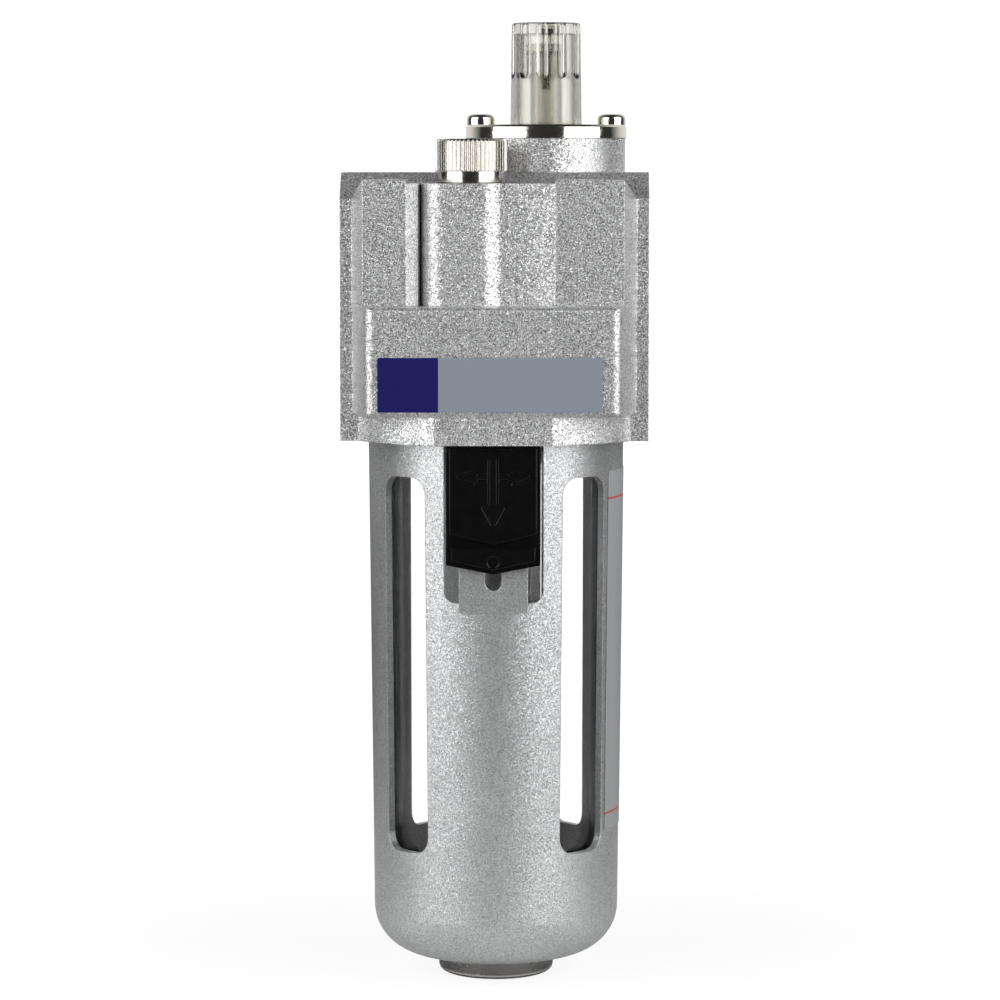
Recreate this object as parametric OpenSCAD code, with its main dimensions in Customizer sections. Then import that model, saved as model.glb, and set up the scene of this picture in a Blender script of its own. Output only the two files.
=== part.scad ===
// Air line lubricator with a guarded clear bowl, a turned sight dome and a latched guard.
// X runs along the air line from inlet to outlet, -Y is the front, +Z is up.
// The origin is on the bowl's axis, level with the underside of the bowl's foot.

/* [Body casting] */
// Distance between the two port faces
body_w = 90; // [88:1:100]
// Depth of the port flanges, front to back
flange_d = 48; // [44:1:54]
// Thickness of the port flanges, along the air line
flange_t = 3.5; // [2.5:0.5:4.5]
// How much deeper the flanges are below the ledge, on each side
flange_step = 0.8; // [0:0.1:1.5]
// Height of the top ridge above the air line's axis
ridge_h = 23; // [21:0.5:27]
// Depth of the flanges' top bevel
bevel_d = 8.5; // [5:0.5:11]
// Height of the flanges' top bevel
bevel_h = 7.6; // [4:0.2:10]
// Height of the front and back piers above the air line's axis
pier_h = 21; // [19:0.5:22]
// Distance from the front piers to the back piers
pier_d = 79; // [76:1:84]
// How far the piers' side walls lean in from base to face
pier_draft = 3.9; // [1:0.1:5]
// Height of the piers' cut-off upper corners
pier_corner_h = 5.7; // [2:0.1:8]
// Depth of the ledge below the air line's axis
ledge_drop = 15.2; // [14:0.2:18]
// Distance from the collar's underside to the air line's axis
collar_drop = 55; // [54:0.5:60]
// Distance between the collar's front and back flats
collar_d = 87; // [86:0.5:91]
// Outer radius of the collar between its flats
collar_r = 46.7; // [46:0.1:49]
// Width of the front and back panels
panel_w = 73.2; // [70:0.2:78]
// How far the panels stand out from the collar's flats
panel_t = 2; // [1:0.1:4]
// Height of the panels' lower edge above the collar's underside
panel_lift = 9.4; // [6:0.2:14]
// Radius of the panels' upright edges
panel_r = 3; // [1.5:0.1:5]
// Radius of the panels' top edges
panel_top_r = 1.5; // [0.5:0.1:3]

/* [Ports and air way] */
// Radius of the ports' thread at its crest, three quarter inch pipe
port_r = 12.06; // [11:0.01:12.5]
// Depth of the ports' thread
port_l = 16; // [12:0.5:17]
// Radius of the air way between the ports
airway_r = 10.5; // [9.5:0.1:11]
// Inner radius of the seal groove round each port
groove_r = 15; // [14.5:0.1:16.5]
// Width of the seal groove
groove_w = 2.4; // [1.5:0.1:3]
// Depth of the seal groove
groove_t = 1.2; // [0.5:0.1:2]

/* [Fill plug] */
// Place of the plug's axis, left and right
plug_x = -6.8; // [-8:0.1:-6]
// Place of the plug's axis, front and back
plug_y = -23.5; // [-24:0.1:-23]
// Distance of the boss's left flank from the plug's axis
plug_boss_r = 14.2; // [13.5:0.1:15]
// How far the boss's flat front stands back from the piers' faces
boss_set_back = 1.5; // [1:0.1:2.5]
// Distance from the plug's axis to the right end of the boss's flat front
boss_flat_r = 3; // [2:0.1:5]
// Radius of the boss's left corner
boss_left_r = 6.4; // [5:0.1:8]
// Radius of the boss's right corner
boss_right_r = 7; // [5:0.1:8]
// How far the right corner turns before the hollow, in degrees
boss_turn = 33; // [25:1:40]
// Radius of the narrow hollow beside the boss
boss_hollow_r = 5; // [3:0.1:7]
// Radius of the wide hollow between the boss and the right pier
boss_wing_r = 79; // [60:1:100]
// How far the boss's seat lies below the pier's top
plug_seat_drop = 1; // [0.4:0.1:1.6]
// Radius of the plug's knurled head
plug_r = 10.5; // [9.5:0.1:11]
// Height of the knurled band
knurl_h = 9.4; // [7:0.1:12]
// Number of grooves in the knurl
knurl_count = 52; // [40:1:60]
// Height of the smooth skirt under the knurl
skirt_h = 3.2; // [2.5:0.1:5]
// Radius of the plug's threaded shank
shank_r = 7.95; // [7:0.05:8.2]
// Length of the threaded shank
shank_l = 8; // [6:0.5:9]
// Section radius of the plug's seal
plug_seal_r = 1; // [0.8:0.05:1.2]
// Radius of the filling passage below the thread
fill_r = 4; // [3:0.1:4.4]

/* [Sight dome] */
// Place of the dome's axis, left and right
dome_x = 14.8; // [14.4:0.1:15.2]
// Place of the dome's axis, front and back
dome_y = 8; // [7.6:0.1:8.6]
// Radius of the cast boss under the dome
dome_boss_r = 23.6; // [23.2:0.1:24]
// Height of the boss above the ridge
dome_boss_h = 10; // [9:0.5:13]
// Radius of the retaining plate
plate_r = 24; // [23.6:0.1:25]
// Thickness of the retaining plate
plate_t = 4; // [3:0.1:5]
// Radius of the dome at the plate
dome_r = 10.65; // [10.3:0.05:11]
// Radius of the dome at its top
dome_top_r = 10.3; // [10:0.05:10.3]
// Height of the dome above the plate
dome_h = 30.1; // [28:0.1:34]
// Thickness of the dome's top
dome_top_t = 3.2; // [3:0.1:4]
// Inner radius of the dome
dome_bore_r = 8; // [7.6:0.1:8.2]
// Number of finger flutes round the dome
flute_count = 11; // [9:1:12]
// Radius of each flute's cutter
flute_r = 2.1; // [1.8:0.1:2.3]
// Depth of each flute
flute_t = 1; // [0.6:0.1:1.2]
// Length of the flutes, from the dome's top
flute_l = 16.8; // [12:0.2:20]
// Distance of each plate screw from the dome's axis
screw_pitch_r = 19.5; // [18.8:0.1:19.6]
// Radius of the plate screws' shank
screw_r = 2; // [1.6:0.1:2.1]
// Radius of the plate screws' head
screw_head_r = 4.2; // [3.6:0.1:4.3]
// Height of the plate screws' head
screw_head_h = 3.2; // [2.6:0.1:3.6]

/* [Bowl guard] */
// Length of the guard below the collar
guard_l = 155.5; // [145:0.5:170]
// Outer radius of the guard at the collar
guard_top_r = 38.1; // [38:0.05:38.3]
// Outer radius of the guard where its bottom starts to round
guard_low_r = 36.6; // [36.4:0.05:37]
// Thickness of the guard's wall
guard_wall = 2.4; // [2:0.1:2.6]
// Radius of the guard's lower corner
guard_corner_r = 14; // [11:0.5:16]
// Width of the four long slots
slot_w = 17; // [14:0.5:18]
// Corner radius of the four long slots
slot_corner_r = 5; // [3:0.5:6.5]
// Height of the slots' lower ends above the guard's bottom
slot_lift = 34; // [28:0.5:44]
// Depth of the slots' upper ends below the collar
slot_drop = 10.4; // [8:0.2:16]
// Height of the bayonet lugs
lug_h = 3.6; // [2.8:0.1:4]
// How far the bayonet lugs stand out
lug_t = 2.2; // [1.8:0.1:2.4]
// Arc that each bayonet lug covers, in degrees
lug_arc = 38; // [30:1:40]

/* [Bowl] */
// Thickness of the bowl's wall
bowl_wall = 3.2; // [2.6:0.1:3.4]
// Radius of the foot that comes through the guard
foot_r = 17.2; // [14:0.1:18]
// How far the foot comes out below the guard
foot_h = 6.5; // [4:0.1:8]
// Section radius of the bowl's seal
bowl_seal_r = 1.35; // [1.2:0.05:1.5]

/* [Lock button] */
// Width of the window in the guard
window_w = 28.7; // [27:0.1:30]
// Depth of the window below the collar
window_l = 46.4; // [44:0.2:52]
// Width of the tongue in the window
tongue_w = 20; // [18:0.1:20.5]
// Length of the button below the collar, down to its chevron point
button_l = 37.4; // [36:0.2:40]
// How far the button slides down to free the guard
button_travel = 3.6; // [3.2:0.1:4]
// Height of the button's latch nose
nose_h = 3; // [2.4:0.1:3.1]

/* [Label] */
// Depth of the label's top edge below the collar
label_drop = 9.4; // [8:0.2:14]
// Height of the label
label_l = 107; // [90:1:112]

/* [Oil parts] */
// Radius of the siphon tube
siphon_r = 3.2; // [3:0.1:3.6]
// Radius of the check ball
ball_r = 2; // [1.8:0.1:2.2]
// Lift of the check ball
ball_lift = 1.5; // [1:0.1:2]
// Radius of the strainer
strainer_r = 5; // [4.5:0.1:6]
// Height of the strainer
strainer_h = 12; // [9:0.5:15]

/* [Bypass valve] */
// Radius of the valve's disc
valve_r = 8.2; // [8:0.1:8.8]
// Travel of the valve
valve_travel = 4; // [2:0.5:5]

/* [Hidden] */
$fn = 96;

// Overlap given to cutting shapes, so that no face is left in common
eps = 0.5;
// Clearance of a piece that turns or slides in another
slip = 0.1;
// Clearance between pieces that only lie beside each other
gap = 0.3;

// Heights of the guard and the body
guard_z = foot_h;
collar_z = guard_z + guard_l;
port_z = collar_z + collar_drop;
ridge_z = port_z + ridge_h;
bevel_z = ridge_z - bevel_h;
pier_z = port_z + pier_h;
ledge_z = port_z - ledge_drop;
panel_z = collar_z + panel_lift;
seat_z = pier_z - plug_seat_drop;
boss_z = ridge_z + dome_boss_h;
plate_z = boss_z + plate_t;
dome_z = plate_z + dome_h;

// Plan sizes of the body
block_w = body_w - 2 * flange_t;
pier_face_w = block_w - 2 * pier_draft;
panel_y = collar_d / 2 + panel_t;
bay_left = plug_x - plug_boss_r - 4;
bay_right = dome_x + 3;
bay_back = plug_y - 2;
bay_wall_w = 3.3;
bay_wall_d = 7.5;

// Bayonet and bowl socket, from the collar's underside up
lip_h = 5.8;
lip_r = guard_top_r + 0.5;
lug_r = guard_top_r + lug_t;
lug_bay_r = lug_r + 0.5;
lug_z = collar_z + lip_h + gap;
guard_top_z = lug_z + lug_h;
lug_bay_z = guard_top_z + 1.5;
bowl_flange_h = 3.2;
bowl_flange_r = guard_top_r - 0.7;
socket_step_z = guard_top_z + bowl_flange_h + 0.8;
neck_r = guard_top_r - guard_wall - 1.1;
socket_r = neck_r + gap;
socket_h = 29;
socket_z = collar_z + socket_h;
neck_z = socket_z - 1;
bowl_seal_drop = 9.3;
bowl_seal_z = socket_z - bowl_seal_drop;
lug_angles = [0, 90, 180];
lip_gap_arc = 90 - lug_arc - 8;

// Guard and bowl walls
guard_in_top_r = guard_top_r - guard_wall;
guard_in_low_r = guard_low_r - guard_wall;
corner_z = guard_z + guard_corner_r;
bowl_r = guard_in_top_r - 1.1;
bowl_low_r = guard_in_low_r - 1.1;
bowl_in_r = bowl_r - bowl_wall;
bowl_in_low_r = bowl_low_r - bowl_wall;
bowl_z = guard_z + guard_wall + gap;
bowl_corner_r = guard_corner_r - guard_wall;
bowl_floor_z = bowl_z + bowl_wall + 0.8;
slot_z = guard_z + slot_lift;
slot_l = guard_l - slot_lift - slot_drop;

// Guard radius at a height, from the straight taper of its wall
function guard_r_at(z) =
    guard_low_r + (guard_top_r - guard_low_r) * (z - corner_z) / (guard_top_z - corner_z);

// Window, tongue and button
window_z = collar_z - window_l;
tongue_drop = 22;
tongue_top_z = collar_z - tongue_drop;
pocket_h = 14;
pocket_top_z = tongue_top_z + pocket_h;
tongue_y = -guard_r_at(pocket_top_z);
tongue_root_h = 2.5;
notch_w = 4.8;
notch_lift = 3.9;
notch_drop = 6;
notch_z = window_z + notch_lift;
notch_top_z = tongue_top_z - notch_drop;
button_w = window_w - 1.4;
button_z = collar_z - button_l;
button_back_y = tongue_y - gap;
button_face_y = button_back_y - 2.4;
button_panel_y = button_face_y - 1.2;
rail_y = tongue_y + guard_wall - 0.2;
pocket_w = 4.2;
pocket_y = button_back_y - 0.6;
lock_spring_r = 1.3;
lock_wire_r = 0.25;
panel_lift_z = 8.7;
pad_lift_z = 1.4;
arrow_l = 18.7;
arrow_head_l = 5.1;
arrow_head_w = 6.2;
arrow_drop = 22.8;
side_arrow_l = 8.4;
side_arrow_head_l = 4.9;
side_arrow_head_w = 3.8;
side_arrow_x = 10.3;
side_arrow_drop = 9.2;
nose_w = 8;
nose_y = button_face_y + 0.4;
nose_t = -nose_y - guard_top_r - gap;

// Dome group
dome_seat_z = boss_z - 6;
dome_seat_r = dome_r + 2.95;
dome_flange_r = dome_seat_r - 0.6;
dome_seal_r = 1.1;
dome_seal_mid_r = dome_seat_r - 2;
dome_washer_t = 0.6;
dome_flange_top = boss_z - dome_washer_t - slip;
dome_flange_z = dome_seat_z + 2 * dome_seal_r + 2 * slip;
ceiling_z = dome_z - dome_top_t;
cap_r = 5.05;
cap_z = ceiling_z - 3;
cap_t = 3.3;
sleeve_r = 4.75;
sleeve_bore_r = 3.9;
nozzle_l = 13.5;
nozzle_z = cap_z - nozzle_l;
nozzle_r = 1.35;
thread_r = 1.5;
stem_r = 0.65;
drive_w = 3;
needle_rise = 0.75;
drip_seat_z = dome_seat_z - 5.5;
drip_tube_r = 3;
screw_l = 9;
screw_z = boss_z - screw_l;
boss_wall = 2;
plate_edge = 0.2;

// Oil way: the gallery rises beside the air way into the dome's seat
oil_x = dome_x - 3.3;
oil_y = dome_y + 7.5;
gallery_r = 1.6;
fitting_r = 4;
fitting_hex = 11;
seat_r = 1.2;
ball_seat_z = socket_z + 1.2;
ball_z = ball_seat_z - seat_r + ball_r * sqrt(2) + 0.02;
fitting_l = ball_z + ball_r + ball_lift + slip - socket_z;
barb_l = 13;
barb_z = socket_z - barb_l;
siphon_z = bowl_floor_z + 5;
jet_r = 2.5;
jet_l = 7;
jet_head_r = 4;
jet_head_h = 1.4;
jet_bore_r = 0.6;

// Bypass valve, measured from the shoulder that the guide rests on
valve_room = 8.5;
shoulder_x = -body_w / 2 + port_l + valve_travel + valve_room;
guide_t = 3;
guide_r = airway_r + 0.6;
hub_r = 3;
valve_hole_r = valve_r - 1.2;
valve_stem_r = 1.4;
valve_t = 1.8;
valve_nut_t = 1.6;
valve_spring_l = valve_travel + 2.5;
clip_t = 1;
clip_r = guide_r + 0.7;

// Plate with rounded corners, standing on the plane of its outline
module rounded_rect(w, h, r) {
    square([w - 2 * r, h], center = true);
    square([w, h - 2 * r], center = true);
    for (sx = [-1, 1])
        for (sy = [-1, 1])
            translate([sx * (w / 2 - r), sy * (h / 2 - r)])
                circle(r);
}

// Cylinder between two heights on the Z axis
module post(r, z0, z1) {
    translate([0, 0, z0])
        cylinder(r = r, h = z1 - z0);
}

// Outline in the XZ plane, drawn out from y0 to y1
module front_extrude(y0, y1) {
    translate([0, y1, 0])
        rotate([90, 0, 0])
            linear_extrude(y1 - y0)
                children();
}

// Outline in the YZ plane, drawn out along X over a centred width
module side_extrude(w) {
    rotate([90, 0, 90])
        linear_extrude(w, center = true)
            children();
}

// Helical compression spring along Z with its wire swept as one closed solid
module coil_spring(r, wire, length, turns) {
    sides = 8;
    steps = turns * 16;
    rise = length - 2 * wire;
    ring = [for (i = [0:steps]) for (k = [0:sides - 1])
        let (a = 360 * turns * i / steps, b = 360 * k / sides)
            [(r + wire * cos(b)) * cos(a), (r + wire * cos(b)) * sin(a),
                wire + rise * i / steps + wire * sin(b)]];
    tube = [for (i = [0:steps - 1]) for (k = [0:sides - 1])
        let (n = (k + 1) % sides)
            [i * sides + k, (i + 1) * sides + k, (i + 1) * sides + n, i * sides + n]];
    start = [for (k = [0:sides - 1]) k];
    end = [for (k = [sides - 1:-1:0]) steps * sides + k];
    polyhedron(concat([for (p = ring) p]), concat(tube, [start, end]), convexity = 8);
}

// Full-width block with bevelled top edges, a step deeper below the ledge
module port_block() {
    half = flange_d / 2;
    side_extrude(body_w)
        polygon([[-half, collar_z], [half, collar_z], [half, bevel_z],
            [half - bevel_d, ridge_z], [bevel_d - half, ridge_z], [-half, bevel_z]]);
    translate([-body_w / 2, -half - flange_step, collar_z])
        cube([body_w, flange_d + 2 * flange_step, ledge_z - 3 - collar_z]);
}

// Front and back piers: leaning side walls and cut-off upper corners
module pier_block() {
    intersection() {
        linear_extrude(pier_z)
            polygon([for (s = [-1, 1]) for (p = [[-1, 0], [-1, 1], [1, 1], [1, 0]])
                let (q = s > 0 ? p : [-p[0], p[1]])
                    [q[0] * (q[1] > 0 ? pier_face_w : block_w) / 2,
                        s * (q[1] > 0 ? pier_d : flange_d) / 2]]);
        front_extrude(-pier_d, pier_d)
            polygon([[-block_w / 2, panel_z], [block_w / 2, panel_z],
                [block_w / 2, pier_z - pier_corner_h], [pier_face_w / 2, pier_z],
                [-pier_face_w / 2, pier_z], [-block_w / 2, pier_z - pier_corner_h]]);
    }
}

// Bay between the front piers, with a leaning wall on its left
module front_bay() {
    front = -pier_d / 2 - eps;
    left = plug_x - plug_boss_r;
    translate([0, 0, ledge_z])
        linear_extrude(ridge_z - ledge_z)
            polygon([[bay_left, front - eps], [bay_left, -pier_d / 2],
                [bay_left + bay_wall_w, bay_wall_d - pier_d / 2],
                [left + 0.5, bay_wall_d + 2.5 - pier_d / 2], [left + 0.5, bay_back],
                [bay_right, bay_back], [bay_right, front - eps]]);
}

// Direction in plan that is turned by an angle from the front
function facing(a) = [sin(a), -cos(a)];

// Boss that carries the plug: flat front, two rounded corners, hollow sweep to the pier
module plug_boss() {
    base = ledge_z - eps;
    h = seat_z - base;
    back = bay_back + 1.5;
    front = boss_set_back - pier_d / 2;
    left = plug_x - plug_boss_r;
    left_mid = [left + boss_left_r, front + boss_left_r];
    right_mid = [plug_x + boss_flat_r, front + boss_right_r];
    turn_end = right_mid + boss_right_r * facing(boss_turn);
    hollow_mid = turn_end + boss_hollow_r * facing(boss_turn);
    wing_start = hollow_mid - boss_hollow_r * facing(-2);
    wing_mid = wing_start + boss_wing_r * facing(-2);
    translate([left_mid[0], left_mid[1], base])
        cylinder(r = boss_left_r, h = h);
    translate([right_mid[0], right_mid[1], base])
        cylinder(r = boss_right_r, h = h);
    translate([0, 0, base])
        linear_extrude(h)
            polygon([[left, back], [left, left_mid[1]], left_mid, [left_mid[0], front],
                [right_mid[0], front], [right_mid[0], back]]);
    difference() {
        translate([0, 0, base])
            linear_extrude(h)
                polygon([right_mid, turn_end, [wing_start[0], turn_end[1]],
                    [wing_start[0], back], [right_mid[0], back]]);
        translate([hollow_mid[0], hollow_mid[1], base - eps])
            cylinder(r = boss_hollow_r, h = h + 2 * eps);
    }
    difference() {
        translate([0, 0, base])
            linear_extrude(h)
                polygon([[wing_start[0], back], [wing_start[0], wing_start[1] - 3],
                    [bay_right, wing_start[1] - 3], [bay_right, back]]);
        translate([wing_mid[0], wing_mid[1], base - eps])
            cylinder(r = boss_wing_r, h = h + 2 * eps, $fn = 360);
    }
}

// Round collar with a front and a back flat, and the two panels
module lower_block() {
    intersection() {
        post(collar_r, collar_z, ledge_z - 3);
        translate([0, 0, (collar_z + ledge_z) / 2])
            cube([block_w, collar_d, ledge_z - collar_z + 2 * eps], center = true);
    }
    for (turn = [0, 180])
        rotate([0, 0, turn])
            panel();
}

// Raised front panel: walls that lean out to the flanges, rounded upright and top edges
module panel() {
    half = panel_w / 2;
    inner = 4 - flange_d / 2;
    low_z = panel_z - 0.6 * panel_t;
    lean = atan((block_w / 2 - half) / (panel_y - flange_d / 2));
    corner = [half - panel_r * (1 - sin(lean)) / cos(lean), panel_r - panel_y];
    edge = corner + panel_r * [cos(lean), -sin(lean)];
    back_x = edge[0] + (inner - edge[1]) * tan(lean);
    intersection() {
        union() {
            for (side = [-1, 1])
                translate([side * corner[0], corner[1], 0])
                    post(panel_r, 0, ledge_z);
            linear_extrude(ledge_z)
                polygon([[-back_x, inner], [-edge[0], edge[1]], [-corner[0], corner[1]],
                    [-corner[0], -panel_y], [corner[0], -panel_y], corner, edge,
                    [back_x, inner]]);
        }
        side_extrude(body_w) {
            polygon([[-panel_y, panel_z], [-collar_d / 2, low_z], [inner + eps, low_z],
                [inner + eps, ledge_z], [panel_top_r - panel_y, ledge_z],
                [panel_top_r - panel_y, ledge_z - panel_top_r],
                [-panel_y, ledge_z - panel_top_r]]);
            translate([panel_top_r - panel_y, ledge_z - panel_top_r])
                circle(panel_top_r);
        }
    }
}

// Round thread bore, lead-in and seal groove of one port, cut along +X
module port_cut() {
    face = body_w / 2;
    rotate([0, 90, 0]) {
        post(port_r, face - port_l, face + eps);
        translate([0, 0, face - 1])
            cylinder(r1 = port_r, r2 = port_r + 1 + eps, h = 1 + eps);
        difference() {
            post(groove_r + groove_w, face - groove_t, face + eps);
            post(groove_r, face - groove_t - eps, face + 2 * eps);
        }
    }
}

// Stepped socket for the guard's lugs and the bowl's neck, open below
module socket_cut() {
    post(lip_r, collar_z - eps, lug_z);
    post(lug_bay_r, collar_z + lip_h, lug_bay_z);
    post(bowl_flange_r + gap, lug_z, socket_step_z);
    post(socket_r, lug_z, socket_z);
    for (a = [45:90:315])
        rotate([0, 0, a - lip_gap_arc / 2])
            translate([0, 0, collar_z - eps])
                rotate_extrude(angle = lip_gap_arc)
                    translate([lip_r - eps, 0])
                        square([lug_bay_r - lip_r + eps, lip_h + 2 * eps]);
}

// Notch in the collar's underside that the button's nose rises into
module latch_notch() {
    translate([-nose_w / 2 - gap, nose_y - gap, collar_z - eps])
        cube([nose_w + 2 * gap, -lip_r - nose_y + gap + eps, nose_h + gap + eps]);
}

// Die-cast body with its ports, air way, bowl socket and oil and filling passages
module body() {
    color("#b7b9bb")
        difference() {
            union() {
                port_block();
                difference() {
                    pier_block();
                    front_bay();
                    translate([bay_left, -pier_d / 2 - eps, seat_z])
                        cube([bay_right - bay_left, pier_d / 2 + eps, ridge_z]);
                }
                lower_block();
                plug_boss();
                translate([dome_x, dome_y, 0]) {
                    post(dome_boss_r, port_z, boss_z);
                    for (s = [-1, 1])
                        translate([s * screw_pitch_r, 0, 0])
                            post(screw_r + boss_wall, port_z, boss_z);
                }
            }
            translate([0, 0, port_z]) {
                port_cut();
                rotate([0, 0, 180])
                    port_cut();
                rotate([0, 90, 0]) {
                    post(airway_r, -body_w / 2, body_w / 2);
                    post(guide_r + slip, port_l - body_w / 2 - eps, shoulder_x);
                    post(clip_r + slip, shoulder_x - guide_t - clip_t - slip, shoulder_x - guide_t);
                }
            }
            socket_cut();
            latch_notch();
            translate([plug_x, plug_y, 0]) {
                post(plug_r + 1.2, seat_z, ridge_z + eps);
                post(shank_r + 0.05, seat_z - shank_l - 1, seat_z + eps);
                post(fill_r, socket_z - eps, seat_z - shank_l);
            }
            translate([dome_x, dome_y, 0]) {
                post(dome_seat_r, dome_seat_z, boss_z + eps);
                post(cap_r + slip, drip_seat_z, dome_seat_z + eps);
                post(drip_tube_r + 0.02, port_z, drip_seat_z + eps);
                for (s = [-1, 1])
                    translate([s * screw_pitch_r, 0, 0])
                        post(screw_r, screw_z - 1, boss_z + eps);
            }
            translate([oil_x, oil_y, 0]) {
                post(gallery_r, socket_z, dome_seat_z + eps);
                post(fitting_r + 0.02, socket_z - eps, socket_z + fitting_l + slip);
            }
            translate([-dome_x, 0, 0])
                post(jet_r + 0.02, socket_z - eps, port_z);
        }
}

// Thin foil plate on the front panel
module nameplate() {
    plate_w = 64.4;
    plate_h = 15.6;
    color("#8f99a3")
        translate([-0.8, -panel_y, panel_z + 0.4 + plate_h / 2])
            front_extrude(-0.4, 0)
                rounded_rect(plate_w, plate_h, 0.5);
}

// Disc of the plate's thickness with a chamfered upper edge
module plate_disc(r, rim) {
    post(r, boss_z, plate_z - rim);
    translate([0, 0, plate_z - rim])
        cylinder(r1 = r, r2 = r - rim, h = rim);
}

// Round retaining plate with a chamfered rim, which also runs round its two screws
module dome_plate() {
    rim = 0.7;
    color("#c9c5bb")
        translate([dome_x, dome_y, 0])
            difference() {
                union() {
                    plate_disc(plate_r, rim);
                    for (s = [-1, 1])
                        translate([s * screw_pitch_r, 0, 0])
                            plate_disc(screw_head_r + plate_edge, rim);
                }
                post(dome_r + gap, boss_z - eps, plate_z + eps);
                for (s = [-1, 1])
                    translate([s * screw_pitch_r, 0, 0])
                        post(screw_r + 0.15, boss_z - eps, plate_z + eps);
            }
}

// Pan-head screw with a cross recess, its head's underside on the plate
module plate_screw() {
    round = 1.6;
    recess_l = 4.6;
    recess_w = 0.9;
    recess_t = 1.8;
    difference() {
        union() {
            post(screw_r - 0.05, screw_z, plate_z);
            rotate_extrude() {
                translate([0, plate_z])
                    square([screw_head_r, screw_head_h - round]);
                translate([0, plate_z])
                    square([screw_head_r - round, screw_head_h]);
                intersection() {
                    translate([screw_head_r - round, plate_z + screw_head_h - round])
                        circle(round);
                    translate([0, plate_z])
                        square([screw_head_r + 1, screw_head_h + 1]);
                }
            }
        }
        for (a = [20, 110])
            rotate([0, 0, a])
                translate([-recess_l / 2, -recess_w / 2, plate_z + screw_head_h - recess_t])
                    cube([recess_l, recess_w, recess_t + eps]);
    }
}

// The two plate screws
module plate_screws() {
    color("#bdb9ae")
        for (s = [-1, 1])
            translate([dome_x + s * screw_pitch_r, dome_y, 0])
                rotate([0, 0, s * 25])
                    plate_screw();
}

// Clear dome, turned by its flutes; its top carries a square socket for the needle
module sight_dome() {
    top_round = 0.8;
    flute_z = dome_z - flute_l + flute_r;
    flute_at = dome_top_r - flute_t + flute_r + 0.1;
    color("#d9dad2", 0.45)
        translate([dome_x, dome_y, 0])
            difference() {
                union() {
                    post(dome_flange_r, dome_flange_z, dome_flange_top);
                    rotate_extrude() {
                        polygon([[0, dome_flange_z], [dome_r, dome_flange_z], [dome_r, plate_z],
                            [dome_top_r, dome_z - top_round], [dome_top_r - top_round, dome_z - top_round],
                            [dome_top_r - top_round, dome_z], [0, dome_z]]);
                        translate([dome_top_r - top_round, dome_z - top_round])
                            circle(top_round);
                    }
                }
                post(dome_bore_r, dome_flange_z - eps, ceiling_z);
                for (i = [0:flute_count - 1])
                    rotate([0, 0, -96 + i * 360 / flute_count])
                        translate([flute_at, 0, flute_z]) {
                            cylinder(r = flute_r, h = flute_l, $fn = 32);
                            sphere(flute_r, $fn = 32);
                        }
                translate([-drive_w / 2 - slip, -drive_w / 2 - slip, ceiling_z - eps])
                    cube([drive_w + 2 * slip, drive_w + 2 * slip, 2.4 + eps]);
            }
}

// Slip washer between the dome's flange and the plate
module dome_washer() {
    color("#e8e6df")
        translate([dome_x, dome_y, 0])
            difference() {
                post(dome_seat_r - gap, boss_z - dome_washer_t, boss_z);
                post(dome_r + gap, boss_z - dome_washer_t - eps, boss_z + eps);
            }
}

// Ring of round section, its lowest point at z
module o_ring(mid_r, r, z) {
    translate([0, 0, z + r])
        rotate_extrude()
            translate([mid_r, 0])
                circle(r, $fn = 32);
}

// Seal under the dome's flange
module dome_seal() {
    color("#1c1c1e")
        translate([dome_x, dome_y, 0])
            o_ring(dome_seal_mid_r, dome_seal_r, dome_seat_z);
}

// Clear cap and sleeve inside the dome; the drop falls from its nozzle down the sleeve
module drip_cap() {
    color("#e4e6e2", 0.5)
        translate([dome_x, dome_y, 0])
            difference() {
                union() {
                    post(cap_r, drip_seat_z + 1.6, dome_seat_z + 1.5);
                    post(sleeve_r, dome_seat_z, cap_z - cap_t);
                    post(cap_r, cap_z - cap_t, cap_z);
                }
                difference() {
                    post(sleeve_bore_r, drip_seat_z, cap_z - cap_t);
                    post(nozzle_r, nozzle_z, cap_z);
                }
                post(thread_r + 0.05, cap_z - cap_t + 1.2, cap_z + eps);
                post(stem_r + slip, nozzle_z - eps, cap_z);
                for (a = [0:90:270])
                    rotate([0, 0, a])
                        translate([0, 0, cap_z - cap_t + 0.65])
                            rotate([0, 90, 0])
                                cylinder(r = 0.5, h = cap_r + 1, $fn = 24);
            }
}

// Adjusting needle: square drive in the dome, thread in the cap, fine tip in the nozzle
module needle() {
    thread_top = ceiling_z - 0.6;
    color("#c4c4c0")
        translate([dome_x, dome_y, 0]) {
            translate([-drive_w / 2, -drive_w / 2, thread_top])
                cube([drive_w, drive_w, 2]);
            post(thread_r, cap_z - cap_t + 1.5, thread_top);
            post(stem_r, nozzle_z + 1.4, cap_z - cap_t + 1.5);
            translate([0, 0, nozzle_z + 0.4])
                cylinder(r1 = 0.2, r2 = stem_r, h = 1);
        }
}

// Brass tube that lets the drop down into the air way
module drip_tube() {
    color("#c2a25a")
        translate([dome_x, dome_y, 0])
            difference() {
                union() {
                    post(cap_r - 0.05, drip_seat_z, drip_seat_z + 1.5);
                    post(drip_tube_r, port_z + 3, drip_seat_z);
                }
                post(1.5, port_z, drip_seat_z + 2);
            }
}

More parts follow.
